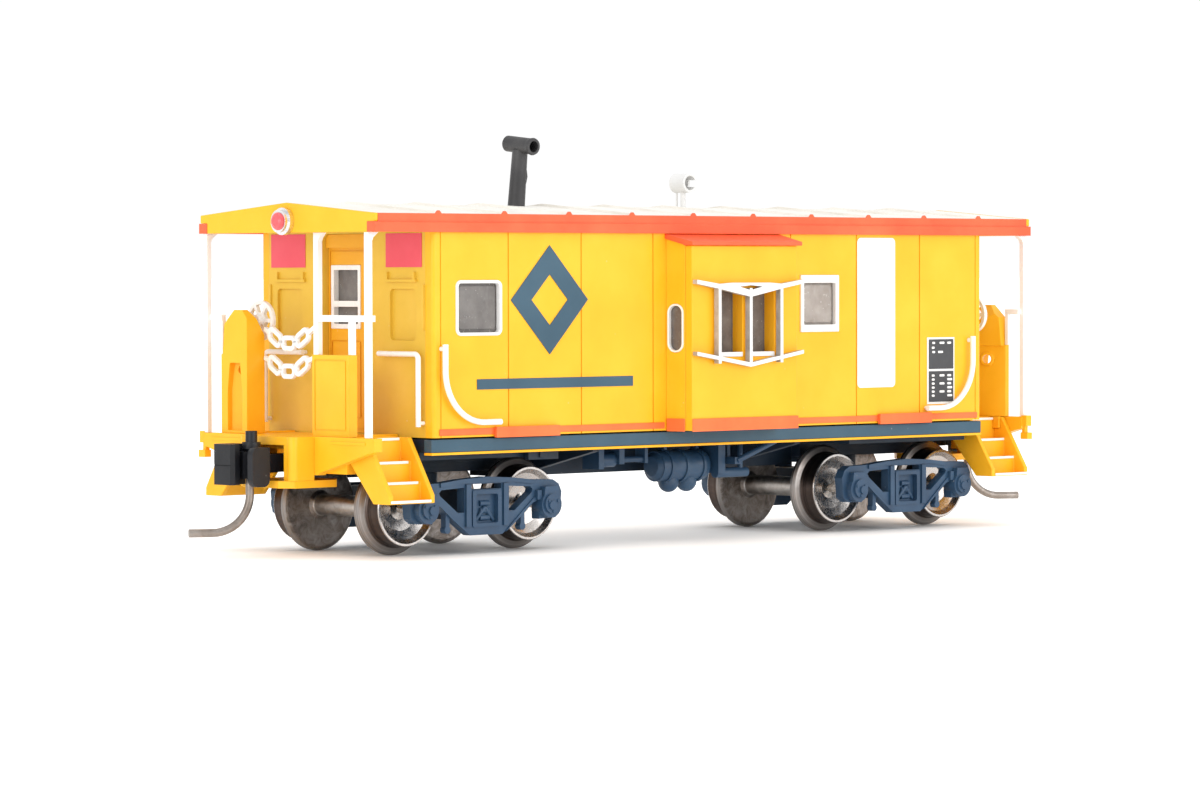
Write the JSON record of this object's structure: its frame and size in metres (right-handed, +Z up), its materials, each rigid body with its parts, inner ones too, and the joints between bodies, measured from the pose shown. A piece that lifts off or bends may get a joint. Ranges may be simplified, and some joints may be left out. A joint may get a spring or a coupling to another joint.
{
  "type": "model railway caboose",
  "caption": "Small scale model of a bay-window railway caboose: boxy cab with end platforms, steps and railings, swivelling trucks, rolling wheelsets and swinging couplers.",
  "frame": {"origin": "middle of the car in plan, at the height of the lowest points of the wheel flanges, where the model meets a flat surface", "axes": "+X along the car towards end b, the end whose brake stand is on the near side; +Y across the car, away from the near side; +Z up"},
  "size_m": [0.0792, 0.024, 0.0289],
  "materials": {
    "cab_yellow": "satin",
    "orange_trim": "satin",
    "roof_white": "matt",
    "chassis_blue": "satin",
    "weight_metal": "matt",
    "trim_white": "satin",
    "lamp_red": "gloss",
    "ring_chrome": "polished",
    "smoke_dark": "satin",
    "window_glass": "clear plastic",
    "panel_red": "satin",
    "panel_black": "satin",
    "wheel_steel": "blackened",
    "coupler_black": "satin",
    "pin_steel": "bright"
  },
  "bodies": {
    "car": {"roof": "roof_white", "roof_fascia": "orange_trim", "gable_ends": "cab_yellow", "side_near_l": "cab_yellow", "side_near_r": "cab_yellow", "side_far_l": "cab_yellow", "side_far_r": "cab_yellow", "bay_headers": "cab_yellow", "end_wall_a": "cab_yellow", "end_wall_b": "cab_yellow", "end_doors": "cab_yellow", "bay_faces": "cab_yellow", "bay_jambs": "cab_yellow", "bay_cheeks": "cab_yellow", "bay_canopies": "orange_trim", "floor": "chassis_blue", "side_sills": "chassis_blue", "sill_strips": "cab_yellow", "lower_stripe": "orange_trim", "center_sill": "chassis_blue", "cross_arms": "chassis_blue", "metal_weight": "weight_metal", "platforms": "cab_yellow", "end_beams": "cab_yellow", "coupler_pockets": "cab_yellow", "pocket_lids": "cab_yellow", "steps": "cab_yellow", "step_edges": "trim_white", "box_posts": "cab_yellow", "brake_stands": "cab_yellow", "brake_wheels": "trim_white", "end_rails": "trim_white", "chains": "trim_white", "grab_irons": "trim_white", "end_lamps": "lamp_red", "lamp_rings": "ring_chrome", "smoke_jack": "smoke_dark", "roof_vent": "roof_white", "window_frames": "trim_white", "bay_windows": "trim_white", "bay_guards": "trim_white", "glazing": "window_glass", "red_panels": "panel_red", "placards": "trim_white", "data_panels": "panel_black", "emblems": "chassis_blue", "air_tank": "chassis_blue", "brake_gear": "chassis_blue"},
    "truck_a": {"frames_a": "chassis_blue", "bolster_a": "chassis_blue"},
    "truck_b": {"frames_b": "chassis_blue", "bolster_b": "chassis_blue"},
    "axle_1": {"wheelset_1": "wheel_steel"},
    "axle_2": {"wheelset_2": "wheel_steel"},
    "axle_3": {"wheelset_3": "wheel_steel"},
    "axle_4": {"wheelset_4": "wheel_steel"},
    "coupler_a": {"coupler_a": "coupler_black", "trip_pin_a": "pin_steel"},
    "coupler_b": {"coupler_b": "coupler_black", "trip_pin_b": "pin_steel"}
  },
  "joints": [
    {"name": "truck_a_swivel", "type": "hinge", "parent": "car", "child": "truck_a", "pos_m": [-0.0211, 0, 0.007], "axis": [0, 0, 1], "range_deg": [-7, 7]},
    {"name": "truck_b_swivel", "type": "hinge", "parent": "car", "child": "truck_b", "pos_m": [0.0211, 0, 0.007], "axis": [0, 0, 1], "range_deg": [-7, 7]},
    {"name": "axle_1_spin", "type": "hinge", "parent": "truck_a", "child": "axle_1", "pos_m": [-0.02675, 0, 0.0032], "axis": [0, 1, 0], "continuous": true},
    {"name": "axle_2_spin", "type": "hinge", "parent": "truck_a", "child": "axle_2", "pos_m": [-0.01545, 0, 0.0032], "axis": [0, 1, 0], "continuous": true},
    {"name": "axle_3_spin", "type": "hinge", "parent": "truck_b", "child": "axle_3", "pos_m": [0.01545, 0, 0.0032], "axis": [0, 1, 0], "continuous": true},
    {"name": "axle_4_spin", "type": "hinge", "parent": "truck_b", "child": "axle_4", "pos_m": [0.02675, 0, 0.0032], "axis": [0, 1, 0], "continuous": true},
    {"name": "coupler_a_swing", "type": "hinge", "parent": "car", "child": "coupler_a", "pos_m": [-0.0319, 0, 0.0063], "axis": [0, 0, 1], "range_deg": [-8, 8], "stiffness_Nm_per_rad": 0.00002},
    {"name": "coupler_b_swing", "type": "hinge", "parent": "car", "child": "coupler_b", "pos_m": [0.0319, 0, 0.0063], "axis": [0, 0, 1], "range_deg": [-8, 8], "stiffness_Nm_per_rad": 0.00002}
  ]
}
